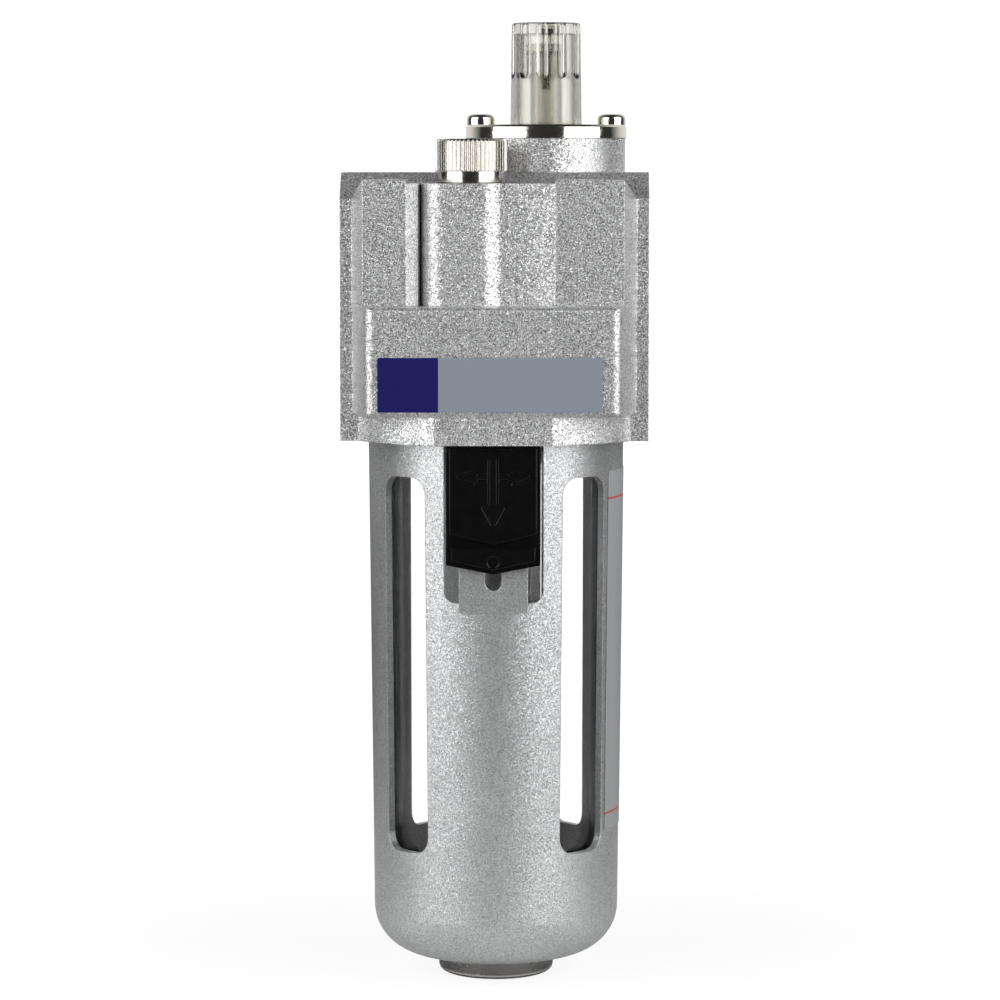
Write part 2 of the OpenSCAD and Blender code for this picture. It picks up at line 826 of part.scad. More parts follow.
// Knurled plug: grooved band with a chamfered top, smooth skirt, threaded shank
module fill_plug() {
    flat = 0.6;
    skirt_z = seat_z + 0.2;
    knurl_z = skirt_z + skirt_h;
    top_z = knurl_z + knurl_h;
    color("#d0cdc4")
        translate([plug_x, plug_y, 0])
            difference() {
                union() {
                    post(shank_r, seat_z - shank_l, skirt_z);
                    post(plug_r - 0.25, skirt_z, knurl_z);
                    intersection() {
                        translate([0, 0, knurl_z])
                            linear_extrude(knurl_h)
                                polygon([for (i = [0:knurl_count - 1]) for (k = [0:2])
                                    let (a = (i + k / 3) * 360 / knurl_count,
                                        r = k < 2 ? plug_r : plug_r - flat)
                                        [r * cos(a), r * sin(a)]]);
                        rotate_extrude()
                            polygon([[0, knurl_z], [plug_r - 0.2, knurl_z], [plug_r + 0.5, knurl_z + 0.7],
                                [plug_r + 0.5, top_z - 1.3], [plug_r - 0.8, top_z], [0, top_z]]);
                    }
                }
                translate([0, 0, seat_z - eps])
                    difference() {
                        post(plug_r - 1, 0, eps + 0.2 + 1.6);
                        post(shank_r, -eps, 3);
                    }
                post(shank_r - 2.4, seat_z - shank_l - eps, seat_z - 1);
            }
}

// Seal in the recess under the plug's skirt
module fill_plug_seal() {
    color("#161618")
        translate([plug_x, plug_y, 0])
            rotate_extrude()
                translate([shank_r + 0.1, seat_z + 0.02])
                    square([plug_r - 1.1 - shank_r - 0.1, 1.6]);
}

// Section of the guard or bowl wall between two heights, rounded into its bottom
module cup_half(low_r, top_r, low_z, top_z, corner) {
    polygon([[0, low_z], [low_r - corner, low_z], [low_r - corner, low_z + corner],
        [low_r, low_z + corner], [top_r, top_z], [0, top_z]]);
    intersection() {
        translate([low_r - corner, low_z + corner])
            circle(corner);
        translate([0, low_z])
            square([low_r + 1, corner]);
    }
}

// Long slot through the guard's wall at an angle round the axis
module guard_slot(angle) {
    inner = 12;
    cut_l = 20;
    rotate([0, 0, angle])
        translate([guard_low_r - inner, 0, slot_z + slot_l / 2])
            rotate([90, 0, 90])
                linear_extrude(cut_l)
                    rounded_rect(slot_w, slot_l, slot_corner_r);
}

// Window in front for the button, closed above inside the collar
module guard_window() {
    outer = 5;
    inner = 8;
    translate([0, 0, (window_z + collar_z + 2) / 2])
        front_extrude(-guard_top_r - outer, -guard_low_r + inner)
            rounded_rect(window_w, collar_z + 2 - window_z, 3.4);
}

// Tongue that rises from the window's lower edge and carries the button's spring
module guard_tongue() {
    translate([-tongue_w / 2, tongue_y, window_z - tongue_root_h])
        cube([tongue_w, guard_wall, tongue_top_z - window_z + tongue_root_h]);
}

// Metal guard: drafted shell with slots, window, tongue and bayonet lugs
module bowl_guard() {
    color("#aeb0b2")
        difference() {
            union() {
                difference() {
                    rotate_extrude()
                        difference() {
                            cup_half(guard_low_r, guard_top_r, guard_z, guard_top_z, guard_corner_r);
                            cup_half(guard_in_low_r, guard_in_top_r, guard_z + guard_wall,
                                guard_top_z + 1, guard_corner_r - guard_wall);
                        }
                    post(foot_r + 0.6, guard_z - eps, guard_z + 6);
                    for (a = [45:90:315])
                        guard_slot(a);
                    guard_window();
                }
                guard_tongue();
                for (a = lug_angles)
                    rotate([0, 0, a - lug_arc / 2])
                        translate([0, 0, lug_z])
                            rotate_extrude(angle = lug_arc)
                                translate([guard_top_r - 0.4, 0])
                                    square([lug_t + 0.4, lug_h]);
            }
            translate([0, 0, (notch_z + notch_top_z) / 2])
                front_extrude(tongue_y - 1, tongue_y + guard_wall + 1)
                    rounded_rect(notch_w, notch_top_z - notch_z, notch_w / 2 - 0.01);
        }
}

// Thin printed label round the guard's right side, between two slots
module guard_label() {
    label_arc = 57;
    label_t = 0.15;
    inner = 0.05;
    high_z = collar_z - label_drop;
    low_z = high_z - label_l;
    color("#c3c5c6")
        rotate([0, 0, -label_arc / 2])
            rotate_extrude(angle = label_arc)
                translate([inner, 0])
                    polygon([[guard_r_at(low_z), low_z], [guard_r_at(low_z) + label_t, low_z],
                        [guard_r_at(high_z) + label_t, high_z], [guard_r_at(high_z), high_z]]);
}

// Clear bowl: foot through the guard, drafted wall, flange on the guard's rim, sealed neck
module bowl() {
    edge = 2;
    seal_t = 2 * bowl_seal_r + 0.6;
    color("#cfd3d2", 0.5)
        rotate_extrude()
            difference() {
                union() {
                    cup_half(bowl_low_r, bowl_r, bowl_z, guard_top_z + 0.1, bowl_corner_r);
                    cup_half(foot_r, foot_r, 0, bowl_z + 1, edge);
                    translate([0, guard_top_z + 0.1])
                        square([bowl_flange_r, bowl_flange_h]);
                    translate([0, guard_top_z + 0.1])
                        square([neck_r, neck_z - guard_top_z - 0.1]);
                }
                cup_half(bowl_in_low_r, bowl_in_r - 1, bowl_floor_z, neck_z + 1,
                    bowl_corner_r - bowl_wall);
                translate([socket_r - 2 * bowl_seal_r - 0.1, bowl_seal_z - seal_t / 2])
                    square([5, seal_t]);
            }
}

// Seal in the groove of the bowl's neck
module bowl_seal() {
    color("#1c1c1e")
        o_ring(socket_r - bowl_seal_r - 0.02, bowl_seal_r, bowl_seal_z - bowl_seal_r);
}

// Outline of the button's front, pointed below
module chevron(w, z0, z1, point) {
    polygon([[-w / 2, z0 + point], [0, z0], [w / 2, z0 + point], [w / 2, z1], [-w / 2, z1]]);
}

// Thin line between two points
module stroke(from, to, w) {
    run = to - from;
    translate(from)
        rotate(atan2(run[1], run[0]))
            translate([0, -w / 2])
                square([norm(run), w]);
}

// Arrow pointing up, about its tip: two lines for the shaft, two open lines for the head
module arrow(length, head_l, head_w) {
    line = 0.45;
    for (s = [-1, 1]) {
        stroke([s * line, 0], [s * head_w / 2, -head_l], line);
        stroke([s * head_w / 5, -head_l - 2 * line], [s * head_w / 5, -length], line);
    }
}

// Black latch slide: raised panel with three arrows, finger pad, guide rails, latch nose
module lock_button() {
    top_z = collar_z - 0.1;
    panel_low = button_z + panel_lift_z;
    pad_low = button_z + pad_lift_z;
    rail_lift = 8;
    rail_low = button_z + rail_lift;
    rail_x = (tongue_w / 2 + gap + button_w / 2) / 2;
    point = 2.6;
    panel_point = 3.2;
    color("#17181a")
        difference() {
            union() {
                front_extrude(button_face_y, button_back_y)
                    chevron(button_w, button_z, top_z, point);
                front_extrude(button_panel_y, button_face_y)
                    chevron(button_w - 2.2, panel_low, top_z - 0.8, panel_point);
                front_extrude(button_panel_y - 0.9, button_face_y)
                    chevron(button_w - 3.2, pad_low, panel_low - 1, point);
                for (s = [-1, 1])
                    translate([s * rail_x, rail_y, (rail_low + top_z) / 2])
                        front_extrude(button_back_y - rail_y - eps, 0)
                            square([(button_w - tongue_w) / 2 - gap, top_z - rail_low], center = true);
                translate([-tongue_w / 2 - 1, button_back_y - eps, tongue_top_z + button_travel + gap])
                    cube([tongue_w + 2, rail_y - button_back_y + eps, top_z - tongue_top_z - button_travel - gap]);
                translate([-nose_w / 2, nose_y, top_z - eps])
                    cube([nose_w, nose_t, nose_h + eps]);
            }
            translate([-pocket_w / 2, pocket_y, tongue_top_z])
                cube([pocket_w, guard_wall + 6, pocket_top_z - tongue_top_z]);
            translate([0, 0, top_z - arrow_drop])
                front_extrude(button_panel_y - eps, button_panel_y + 0.4)
                    rotate(180)
                        arrow(arrow_l, arrow_head_l, arrow_head_w);
            for (s = [-1, 1])
                translate([s * side_arrow_x, 0, top_z - side_arrow_drop])
                    front_extrude(button_panel_y - eps, button_panel_y + 0.4)
                        rotate(-s * 90)
                            arrow(side_arrow_l, side_arrow_head_l, side_arrow_head_w);
            translate([0, button_panel_y - 1.6, button_z + 3.7])
                rotate([-90, 0, 0])
                    cylinder(r = 1.7, h = 1.3, $fn = 32);
        }
}

// Spring between the tongue's top and the roof of the button's pocket
module lock_spring() {
    length = pocket_top_z - tongue_top_z - 2 * slip;
    color("#9a9c9e")
        translate([0, pocket_y + gap + lock_spring_r + lock_wire_r, tongue_top_z + slip])
            coil_spring(lock_spring_r, lock_wire_r, length, 7);
}

// Brass fitting in the body's underside: thread, hexagon, barb, ball seat
module siphon_fitting() {
    color("#bf9f57")
        translate([oil_x, oil_y, 0])
            difference() {
                union() {
                    post(fitting_r, socket_z, socket_z + fitting_l);
                    translate([0, 0, socket_z - 5])
                        cylinder(d = fitting_hex, h = 5, $fn = 6);
                    post(siphon_r - 0.8, barb_z, socket_z - 5);
                }
                post(seat_r, barb_z - eps, ball_seat_z + eps);
                translate([0, 0, ball_seat_z])
                    cylinder(r1 = seat_r, r2 = seat_r + 1.4, h = 1.4);
                post(seat_r + 1.4, ball_seat_z + 1.4, socket_z + fitting_l + eps);
            }
}

// Steel ball on the fitting's cone
module check_ball() {
    color("#c8cacc")
        translate([oil_x, oil_y, ball_z])
            sphere(ball_r);
}

// Clear tube from the fitting's barb down into the oil
module siphon_tube() {
    color("#dfe3e0", 0.6)
        translate([oil_x, oil_y, 0])
            difference() {
                post(siphon_r, siphon_z, socket_z - 5.2);
                post(siphon_r - 0.78, siphon_z - eps, socket_z);
            }
}

// Sintered bronze cup on the tube's lower end
module oil_strainer() {
    color("#9c7a4a")
        translate([oil_x, oil_y, 0])
            difference() {
                post(strainer_r, siphon_z - 2.5, siphon_z - 2.5 + strainer_h);
                post(siphon_r + 0.02, siphon_z, siphon_z + strainer_h);
                post(siphon_r - 0.8, siphon_z - 1, siphon_z + eps);
            }
}

// Moves the valve's parts from the Z axis to the air way's axis, flow to the right
module in_airway() {
    translate([shoulder_x, 0, port_z])
        rotate([0, 90, 0])
            children();
}

// Ring with three spokes and a hub, held against the body's shoulder
module valve_guide() {
    color("#d8d6cc")
        in_airway()
            difference() {
                union() {
                    difference() {
                        post(guide_r, -guide_t, 0);
                        post(valve_hole_r, -guide_t - eps, eps);
                    }
                    post(hub_r, -guide_t, 0);
                    for (a = [0:120:240])
                        rotate([0, 0, a + 30])
                            translate([hub_r - 0.6, -0.8, -guide_t])
                                cube([valve_hole_r - hub_r + 1.2, 1.6, guide_t]);
                }
                post(valve_stem_r + slip, -guide_t - eps, eps);
            }
}

// Retaining ring with an open gap, sprung into the groove before the guide
module valve_clip() {
    color("#8f9294")
        in_airway()
            translate([0, 0, -guide_t - clip_t])
                rotate([0, 0, 20])
                    rotate_extrude(angle = 320)
                        translate([guide_r - 1.2, 0])
                            square([clip_r - guide_r + 1.2, clip_t - slip]);
}

// Valve disc on its stem; the flow lifts it off the guide's ring
module bypass_valve() {
    stem_l = guide_t + valve_spring_l + valve_nut_t + 0.4;
    color("#2b2d30")
        in_airway() {
            post(valve_r, 0.05, valve_t);
            translate([0, 0, valve_t])
                cylinder(r1 = valve_r - 1.5, r2 = 2, h = 2.4);
            post(valve_stem_r, -stem_l, 0.5);
        }
}

// Nut on the stem's upstream end that takes the spring's load
module valve_nut() {
    color("#c2a25a")
        in_airway()
            translate([0, 0, -guide_t - valve_spring_l - valve_nut_t])
                difference() {
                    cylinder(r = hub_r + 0.4, h = valve_nut_t, $fn = 6);
                    post(valve_stem_r + 0.02, -eps, valve_nut_t + eps);
                }
}

// Spring between the hub and the nut
module bypass_spring() {
    color("#9a9c9e")
        in_airway()
            translate([0, 0, -guide_t - valve_spring_l + slip])
                coil_spring(2.2, 0.28, valve_spring_l - 2 * slip, 4);
}

// Drilled brass jet that leads line pressure down into the bowl
module bowl_jet() {
    color("#bf9f57")
        translate([-dome_x, 0, 0])
            difference() {
                union() {
                    post(jet_r, socket_z, socket_z + jet_l);
                    post(jet_head_r, socket_z - jet_head_h, socket_z);
                }
                post(jet_bore_r, socket_z - jet_head_h - eps, socket_z + jet_l + eps);
                translate([-jet_head_r - eps, -jet_bore_r, socket_z - jet_head_h - eps])
                    cube([2 * (jet_head_r + eps), 2 * jet_bore_r, jet_head_h / 2 + eps]);
            }
}

body();
nameplate();
dome_plate();
plate_screws();
sight_dome();
dome_washer();
dome_seal();
drip_cap();
needle();
drip_tube();
fill_plug();
fill_plug_seal();
bowl_guard();
guard_label();
bowl();
bowl_seal();
lock_button();
lock_spring();
siphon_fitting();
check_ball();
siphon_tube();
oil_strainer();
valve_guide();
valve_clip();
bypass_valve();
valve_nut();
bypass_spring();
bowl_jet();
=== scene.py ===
"""Looks of an air line lubricator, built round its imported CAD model."""
import math

import bmesh
import bpy
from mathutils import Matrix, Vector


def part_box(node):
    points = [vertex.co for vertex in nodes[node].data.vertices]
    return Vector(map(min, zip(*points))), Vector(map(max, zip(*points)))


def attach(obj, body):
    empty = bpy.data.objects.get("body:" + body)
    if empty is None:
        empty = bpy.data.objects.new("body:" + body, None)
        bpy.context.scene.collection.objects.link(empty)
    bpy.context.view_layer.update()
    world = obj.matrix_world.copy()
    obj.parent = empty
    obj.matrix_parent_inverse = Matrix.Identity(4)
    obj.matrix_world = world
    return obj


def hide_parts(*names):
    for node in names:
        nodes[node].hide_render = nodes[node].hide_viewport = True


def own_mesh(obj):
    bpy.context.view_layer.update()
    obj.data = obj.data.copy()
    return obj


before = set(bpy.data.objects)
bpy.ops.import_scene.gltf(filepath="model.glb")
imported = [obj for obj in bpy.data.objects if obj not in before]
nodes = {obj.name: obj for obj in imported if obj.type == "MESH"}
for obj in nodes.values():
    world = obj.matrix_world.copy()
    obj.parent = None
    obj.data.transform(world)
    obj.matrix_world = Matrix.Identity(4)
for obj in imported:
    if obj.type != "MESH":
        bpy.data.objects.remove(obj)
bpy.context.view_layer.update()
mm = 0.001

# Camera
# A long lens about a metre in front of the part, a little above it and a trace to its right.
camera_pitch = math.radians(5.5)
camera_yaw = math.radians(1.1)
camera_far = 1083.8 * mm
camera_right = 1.2 * mm
camera_aim = Vector((0, 0, 142.3 * mm))
camera_back = Vector((
    math.sin(camera_yaw) * math.cos(camera_pitch),
    -math.cos(camera_yaw) * math.cos(camera_pitch),
    math.sin(camera_pitch),
))
camera_side = Vector((math.cos(camera_yaw), math.sin(camera_yaw), 0))
camera = bpy.data.objects.new("camera", bpy.data.cameras.new("camera"))
bpy.context.scene.collection.objects.link(camera)
camera.data.lens = 130.4
camera.data.sensor_width = 36
camera.data.clip_start = 0.05
camera.location = camera_aim + camera_back * camera_far + camera_side * camera_right
camera.rotation_euler = (math.radians(90) - camera_pitch, 0, camera_yaw)
bpy.context.scene.camera = camera
bpy.context.scene.view_settings.view_transform = "Standard"


# Studio
# Two broad softboxes stand left and right of the camera in a dark room, and a white
# backdrop hangs behind. The white paper shows white to the lens and through the clear plastic.
def linear(hex_colour, alpha=1.0):
    """An sRGB hex colour as linear red, green, blue and alpha."""
    channels = [int(hex_colour[i:i + 2], 16) / 255 for i in (1, 3, 5)]
    return tuple(
        c / 12.92 if c <= 0.04045 else ((c + 0.055) / 1.055) ** 2.4 for c in channels
    ) + (alpha,)


def add(tree, kind, inputs=None, **fields):
    """Adds one node; each input is a number or colour to set, or a socket to link."""
    node = tree.nodes.new("ShaderNode" + kind)
    for name, value in fields.items():
        setattr(node, name, value)
    for name, value in (inputs or {}).items():
        if isinstance(value, bpy.types.NodeSocket):
            tree.links.new(value, node.inputs[name])
        else:
            node.inputs[name].default_value = value
    return node


def new_material(name):
    """An empty node material and its tree."""
    made = bpy.data.materials.new(name)
    made.use_nodes = True
    made.node_tree.nodes.clear()
    return made, made.node_tree


def softbox(name, azimuth, height, distance, width, tall, watts):
    """An area lamp at an azimuth from the front, turned to the part's middle."""
    lamp = bpy.data.lights.new(name, "AREA")
    lamp.shape = "RECTANGLE"
    lamp.size, lamp.size_y, lamp.energy = width, tall, watts
    holder = bpy.data.objects.new(name, lamp)
    bpy.context.scene.collection.objects.link(holder)
    angle = math.radians(azimuth)
    holder.location = (math.sin(angle) * distance, -math.cos(angle) * distance, height)
    towards = Vector((0, 0, 0.15)) - holder.location
    holder.rotation_euler = towards.to_track_quat("-Z", "Y").to_euler()


softbox("softbox_left", azimuth=-54, height=0.53, distance=1.1, width=1.2, tall=1.1, watts=12.2)
softbox("softbox_right", azimuth=55, height=0.53, distance=1.1, width=1.24, tall=1.1, watts=12.4)

studio = bpy.data.worlds.new("studio")
bpy.context.scene.world = studio
studio.use_nodes = True
air = studio.node_tree
air.nodes.clear()
ray = add(air, "LightPath")
way = add(air, "SeparateXYZ", {"Vector": add(air, "TexCoord").outputs["Generated"]})
upward = add(air, "MapRange", {"Value": way.outputs["Z"], "From Min": 0.05, "From Max": 0.6})
behind = add(air, "MapRange", {"Value": way.outputs["Y"], "From Min": 0.3, "From Max": 0.75})
fill = add(air, "MixRGB", {"Fac": upward.outputs["Result"], "Color1": linear("#7e7f81"),
                           "Color2": linear("#3c3d3f")})
dark_room = add(air, "MixRGB", {"Fac": behind.outputs["Result"], "Color1": linear("#333334"),
                                "Color2": linear("#e8e8e8")})
clear_ray = add(air, "Math", {0: ray.outputs["Is Camera Ray"],
                              1: ray.outputs["Is Transmission Ray"]}, operation="MAXIMUM")
bounced = add(air, "Math", {0: ray.outputs["Diffuse Depth"], 1: ray.outputs["Glossy Depth"]})
straight = add(air, "Math", {0: bounced.outputs[0], 1: 0.5}, operation="LESS_THAN")
sees_white = add(air, "Math", {0: clear_ray.outputs[0], 1: straight.outputs[0]},
                 operation="MULTIPLY")
after_gloss = add(air, "Math", {0: ray.outputs["Glossy Depth"], 1: 0.5}, operation="GREATER_THAN")
room = add(air, "MixRGB", {"Fac": after_gloss.outputs[0], "Color1": fill.outputs[0],
                           "Color2": dark_room.outputs[0]})
white = add(air, "MixRGB", {"Fac": ray.outputs["Is Transmission Ray"],
                            "Color1": (1.15, 1.15, 1.15, 1), "Color2": (1.5, 1.5, 1.5, 1)})
seen = add(air, "MixRGB", {"Fac": sees_white.outputs[0], "Color1": room.outputs[0],
                           "Color2": white.outputs[0]})
backdrop = add(air, "Background", {"Color": seen.outputs[0], "Strength": 1.0})
add(air, "OutputWorld", {"Surface": backdrop.outputs[0]})

paper_mesh = bpy.data.meshes.new("paper_floor")
paper_half = 4.0
paper_z = -0.4 * mm
paper_mesh.from_pydata(
    [(-paper_half, -paper_half, paper_z), (paper_half, -paper_half, paper_z),
     (paper_half, paper_half, paper_z), (-paper_half, paper_half, paper_z)],
    [], [(0, 1, 2, 3)])
paper_floor = bpy.data.objects.new("paper_floor", paper_mesh)
bpy.context.scene.collection.objects.link(paper_floor)
seamless_paper, tree = new_material("seamless_paper")
ray = add(tree, "LightPath")
place = add(tree, "TexCoord").outputs["Object"]
fibres = add(tree, "TexNoise", {"Vector": place, "Scale": 400.0})
paper_colour = add(tree, "MixRGB", {"Fac": fibres.outputs["Fac"], "Color1": linear("#e2e2e1"),
                                    "Color2": linear("#e8e8e7")})
away = add(tree, "VectorMath", {0: place}, operation="LENGTH")
# In reflections the paper is painted near black from 0.12 to 0.5 m out from the part: painted
# shade for the dark room.
far_in_reflection = add(tree, "MapRange", {"Value": away.outputs["Value"], "From Min": 0.12,
                                  "From Max": 0.5})
painted_dark_reflection = add(tree, "Math", {0: far_in_reflection.outputs["Result"], 1: ray.outputs["Is Glossy Ray"]},
             operation="MULTIPLY")
paper_or_painted_dark_reflection = add(tree, "MixRGB", {"Fac": painted_dark_reflection.outputs[0], "Color1": paper_colour.outputs[0],
                                  "Color2": linear("#1c1c1c")})
matt = add(tree, "BsdfDiffuse", {"Color": paper_or_painted_dark_reflection.outputs[0]})
glow_strength = add(tree, "MapRange", {"Value": ray.outputs["Is Transmission Ray"],
                                       "To Min": 1.12, "To Max": 1.5})
glow = add(tree, "Emission", {"Color": linear("#ffffff"),
                              "Strength": glow_strength.outputs["Result"]})
clear_ray = add(tree, "Math", {0: ray.outputs["Is Camera Ray"],
                               1: ray.outputs["Is Transmission Ray"]}, operation="MAXIMUM")
bounced = add(tree, "Math", {0: ray.outputs["Diffuse Depth"], 1: ray.outputs["Glossy Depth"]})
straight = add(tree, "Math", {0: bounced.outputs[0], 1: 0.5}, operation="LESS_THAN")
direct = add(tree, "Math", {0: clear_ray.outputs[0], 1: straight.outputs[0]}, operation="MULTIPLY")
fade = add(tree, "MapRange", {"Value": away.outputs["Value"], "From Min": 0.05, "From Max": 0.4,
                              "To Min": 0.8, "To Max": 1.0}, interpolation_type="SMOOTHSTEP")
share = add(tree, "Math", {0: direct.outputs[0], 1: fade.outputs["Result"]}, operation="MULTIPLY")
mixed = add(tree, "MixShader", {"Fac": share.outputs[0], 1: matt.outputs[0], 2: glow.outputs[0]})
add(tree, "OutputMaterial", {"Surface": mixed.outputs[0]})
paper_mesh.materials.append(seamless_paper)


# Body and bowl guard
# Aluminium die castings, shot blasted and sprayed with silver paint. The blasted grain
# gives a fine glitter, and the edges are rounded by the tumbling before the paint. The wall
# left of the plug's boss has a wide draft, so the foot of that wall comes forward.
def coat(piece, material):
    """Puts one material on every face of a piece."""
    piece.data.materials.clear()
    piece.data.materials.append(material)


def smooth_by_angle(piece, degrees=30):
    """Smooths shallow joints between faces and keeps the sharp edges sharp."""
    for face in piece.data.polygons:
        face.use_smooth = True
    piece.data.set_sharp_from_angle(angle=math.radians(degrees))


port_z = 217 * mm
port_radius = 12.4 * mm


def silver_paint(name, dark_grain, light_grain, grain_size, flake_tilt, relief_depth, low_rough,
                 high_rough):
    """Silver paint over a blasted casting, bare metal inside the ports."""
    made, tree = new_material(name)
    place = add(tree, "TexCoord").outputs["Object"]
    flakes = add(tree, "TexVoronoi", {"Vector": place, "Scale": 1 / grain_size})
    flake_tone = add(tree, "RGBToBW", {"Color": flakes.outputs["Color"]})
    pits = add(tree, "TexNoise", {"Vector": place, "Scale": 1.2 / grain_size, "Detail": 1.0})
    clouds = add(tree, "TexNoise", {"Vector": place, "Scale": 1 / (14 * mm), "Detail": 2.0})
    colour = add(tree, "ValToRGB", {"Fac": flake_tone.outputs[0]})
    colour.color_ramp.elements[0].color = linear(dark_grain)
    colour.color_ramp.elements[0].position = 0.15
    colour.color_ramp.elements[1].color = linear(light_grain)
    colour.color_ramp.elements[1].position = 0.7
    cloud_shade = add(tree, "MapRange", {"Value": clouds.outputs["Fac"], "From Min": 0.3,
                                         "From Max": 0.7, "To Min": 0.96, "To Max": 1.03})
    shade = add(tree, "VectorMath", {0: colour.outputs["Color"],
                                     "Scale": cloud_shade.outputs["Result"]}, operation="SCALE")
    rough = add(tree, "MapRange", {"Value": pits.outputs["Fac"], "From Min": 0.3,
                                   "From Max": 0.7, "To Min": low_rough, "To Max": high_rough})
    rounded = add(tree, "Bevel", {"Radius": 0.45 * mm}, samples=4)
    tilt = add(tree, "VectorMath", {0: flakes.outputs["Color"], 1: (0.5, 0.5, 0.5)},
               operation="SUBTRACT")
    lean = add(tree, "VectorMath", {0: tilt.outputs["Vector"], "Scale": flake_tilt},
               operation="SCALE")
    tilted = add(tree, "VectorMath", {0: rounded.outputs["Normal"], 1: lean.outputs["Vector"]})
    flake_normal = add(tree, "VectorMath", {0: tilted.outputs["Vector"]}, operation="NORMALIZE")
    bump = add(tree, "Bump", {"Height": pits.outputs["Fac"], "Strength": 1.0,
                              "Distance": relief_depth, "Normal": flake_normal.outputs["Vector"]})
    axes = add(tree, "SeparateXYZ", {"Vector": place})
    above = add(tree, "Math", {0: axes.outputs["Z"], 1: port_z}, operation="SUBTRACT")
    off_axis = add(tree, "CombineXYZ", {"Y": axes.outputs["Y"], "Z": above.outputs[0]})
    far = add(tree, "VectorMath", {0: off_axis.outputs[0]}, operation="LENGTH")
    in_port = add(tree, "Math", {0: far.outputs["Value"], 1: port_radius}, operation="LESS_THAN")
    skin_colour = add(tree, "MixRGB", {"Fac": in_port.outputs[0],
                                       "Color1": shade.outputs["Vector"],
                                       "Color2": linear("#c4c5c8")})
    skin_metal = add(tree, "MapRange", {"Value": in_port.outputs[0], "To Min": 0.76,
                                        "To Max": 1.0})
    skin_rough = add(tree, "MixRGB", {"Fac": in_port.outputs[0], "Color1": rough.outputs["Result"],
                                      "Color2": (0.3, 0.3, 0.3, 1)})
    paint = add(tree, "BsdfPrincipled", {"Base Color": skin_colour.outputs[0],
                                         "Metallic": skin_metal.outputs["Result"],
                                         "Roughness": skin_rough.outputs[0],
                                         "Normal": bump.outputs["Normal"]})
    add(tree, "OutputMaterial", {"Surface": paint.outputs[0]})
    return made


coarse_paint = silver_paint(
    "silver_paint_on_blasted_casting", dark_grain="#6f7072", light_grain="#ffffff",
    grain_size=0.23 * mm, flake_tilt=0.42, relief_depth=0.02 * mm, low_rough=0.3, high_rough=0.4)
coat(nodes["body"], coarse_paint)
smooth_by_angle(nodes["body"])
bay_corner = Vector((-21.7 * mm, -32 * mm, 0))
near = 0.05 * mm
in_corner = [point.index for point in nodes["body"].data.vertices
             if (point.co - bay_corner).xy.length < near]
bay_wall_foot = nodes["body"].vertex_groups.new(name="bay_wall_foot")
bay_wall_foot.add(in_corner, 1, "REPLACE")
bay_draft = nodes["body"].modifiers.new("bay_draft", "DISPLACE")
bay_draft.vertex_group = bay_wall_foot.name
bay_draft.direction = "Y"
bay_draft.mid_level = 0
bay_draft.strength = -4 * mm
fine_paint = silver_paint(
    "silver_paint_on_fine_casting", dark_grain="#98999a", light_grain="#e4e5e6",
    grain_size=0.19 * mm, flake_tilt=0.28, relief_depth=0.008 * mm, low_rough=0.3, high_rough=0.38)
coat(nodes["bowl_guard"], fine_paint)
smooth_by_angle(nodes["bowl_guard"])


# Nameplate
# A thin aluminium foil with two printed fields, glued to the front panel. It is bare of print.
plate_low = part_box("nameplate")[0]
blue_wide = 17.4 * mm
printed_foil, tree = new_material("printed_aluminium_foil")
place = add(tree, "TexCoord").outputs["Object"]
axes = add(tree, "SeparateXYZ", {"Vector": place})
on_blue = add(tree, "Math", {0: axes.outputs["X"], 1: plate_low.x + blue_wide},
              operation="LESS_THAN")
field = add(tree, "MixRGB", {"Fac": on_blue.outputs[0], "Color1": linear("#87909b"),
                             "Color2": linear("#131160")})
brushing = add(tree, "TexNoise", {"Vector": place, "Scale": 1 / (0.8 * mm), "Detail": 2.0})
foil_rough = add(tree, "MapRange", {"Value": brushing.outputs["Fac"], "To Min": 0.3,
                                    "To Max": 0.42})
foil = add(tree, "BsdfPrincipled", {"Base Color": field.outputs[0], "Metallic": 0.15,
                                    "Roughness": foil_rough.outputs["Result"]})
add(tree, "OutputMaterial", {"Surface": foil.outputs[0]})
coat(nodes["nameplate"], printed_foil)

# Fill plug, dome plate and plate screws
# Turned or pressed from brass and steel, then nickel plated: a bright, faintly warm mirror.
# The plug is plated straight over its turned skin, which leaves it satin.
def nickel_plate(name, hex_colour, low_rough, high_rough, relief):
    """Nickel plate, from a bright mirror to satin."""
    made, tree = new_material(name)
    place = add(tree, "TexCoord").outputs["Object"]
    handling = add(tree, "TexNoise", {"Vector": place, "Scale": 1 / (1.2 * mm), "Detail": 4.0})
    rough = add(tree, "MapRange", {"Value": handling.outputs["Fac"], "From Min": 0.3,
                                   "From Max": 0.75, "To Min": low_rough, "To Max": high_rough})
    rounded = add(tree, "Bevel", {"Radius": 0.3 * mm}, samples=4)
    polish = add(tree, "Bump", {"Height": handling.outputs["Fac"], "Strength": 0.3,
                                "Distance": relief, "Normal": rounded.outputs["Normal"]})
    nickel = add(tree, "BsdfPrincipled", {"Base Color": linear(hex_colour), "Metallic": 1.0,
                                          "Roughness": rough.outputs["Result"],
                                          "Normal": polish.outputs["Normal"]})
    add(tree, "OutputMaterial", {"Surface": nickel.outputs[0]})
    return made


bright_nickel = nickel_plate("bright_nickel_plate", "#e4dfd4", low_rough=0.06, high_rough=0.16,
                             relief=0.08 * mm)
for name in ("dome_plate", "plate_screws"):
    coat(nodes[name], bright_nickel)
    smooth_by_angle(nodes[name])
satin_nickel = nickel_plate("satin_nickel_plate", "#cfccc5", low_rough=0.08, high_rough=0.2,
                            relief=0.05 * mm)
coat(nodes["fill_plug"], satin_nickel)
smooth_by_angle(nodes["fill_plug"])
